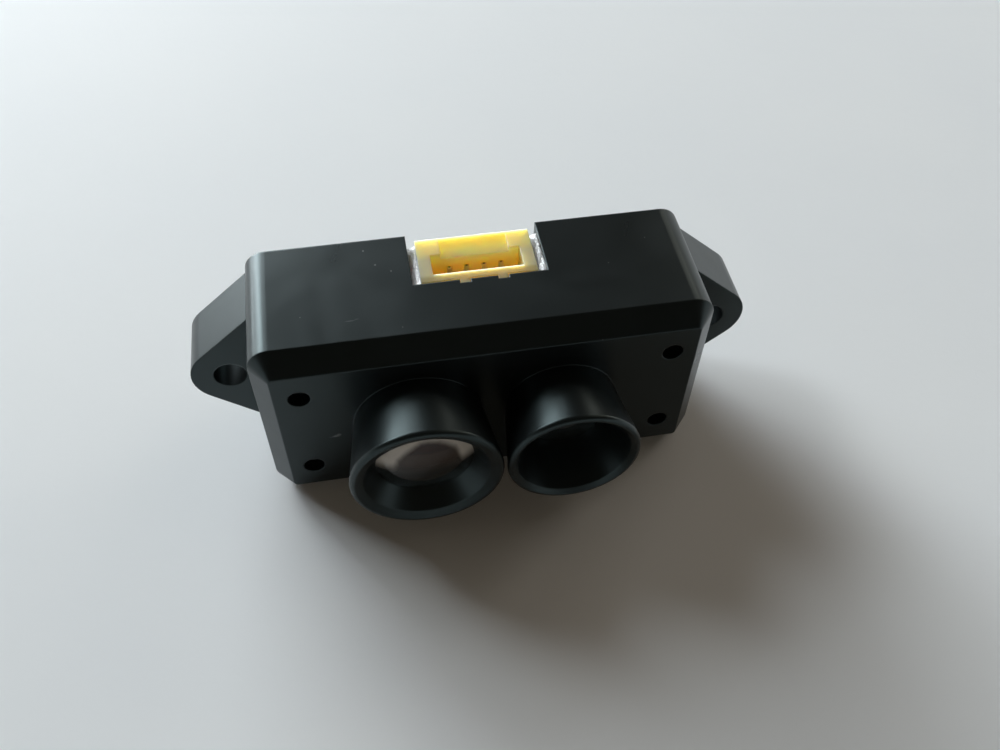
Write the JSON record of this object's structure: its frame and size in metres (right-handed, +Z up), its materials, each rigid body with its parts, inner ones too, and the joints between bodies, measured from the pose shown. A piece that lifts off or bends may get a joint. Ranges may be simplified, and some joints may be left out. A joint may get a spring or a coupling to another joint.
{
  "type": "lidar distance sensor",
  "caption": "Small single-point laser distance sensor: black moulded body with receiver and emitter lens tubes, slanted fixing ears and a board header in a notch.",
  "frame": {"origin": "centre of the whole sensor's outline, on the surface it stands on", "axes": "+X along the width, with the receiver tube at -X; +Y towards the back, so the tubes face -Y; +Z up, the way the connector opens"},
  "size_m": [0.042, 0.016, 0.015],
  "materials": {
    "black_housing": "satin moulded black ABS blend",
    "black_cover": "satin moulded black ABS blend",
    "board_laminate": "green solder mask on glass laminate",
    "baffle_plastic": "dull black moulded plastic",
    "receiver_lens_acrylic": "polished moulded acrylic, faint pink coating",
    "emitter_lens_acrylic": "polished moulded acrylic",
    "filter_glass": "dark red band-pass glass",
    "chip_epoxy": "moulded black epoxy",
    "emitter_ceramic": "fired white ceramic",
    "clear_silicone": "clear cast silicone",
    "header_nylon": "cream moulded nylon",
    "gilt_contact": "gilt phosphor bronze",
    "tinned_brass": "bright tin on brass",
    "clear_glue": "cured clear glue",
    "ferrite": "pressed ferrite",
    "crystal_can": "nickel plated lid",
    "tantalum_case": "moulded yellow epoxy",
    "capacitor_ceramic": "fired tan ceramic",
    "resistor_film": "coated black film"
  },
  "bodies": {
    "root": {"housing": "black_housing", "rear_cover": "black_cover", "circuit_board": "board_laminate", "light_baffle": "baffle_plastic", "receiver_lens": "receiver_lens_acrylic", "emitter_lens": "emitter_lens_acrylic", "receiver_filter": "filter_glass", "receiver_sensor": "chip_epoxy", "emitter_package": "emitter_ceramic", "emitter_dome": "clear_silicone", "header_shell": "header_nylon", "header_pin_1": "gilt_contact", "header_pin_2": "gilt_contact", "header_pin_3": "gilt_contact", "header_pin_4": "gilt_contact", "header_tab_left": "tinned_brass", "header_tab_right": "tinned_brass", "connector_glue": "clear_glue", "processor_chip": "chip_epoxy", "driver_chip": "chip_epoxy", "voltage_regulator": "chip_epoxy", "power_inductor": "ferrite", "clock_crystal": "crystal_can", "supply_capacitors": "tantalum_case", "small_capacitors": "capacitor_ceramic", "small_resistors": "resistor_film"}
  },
  "joints": []
}
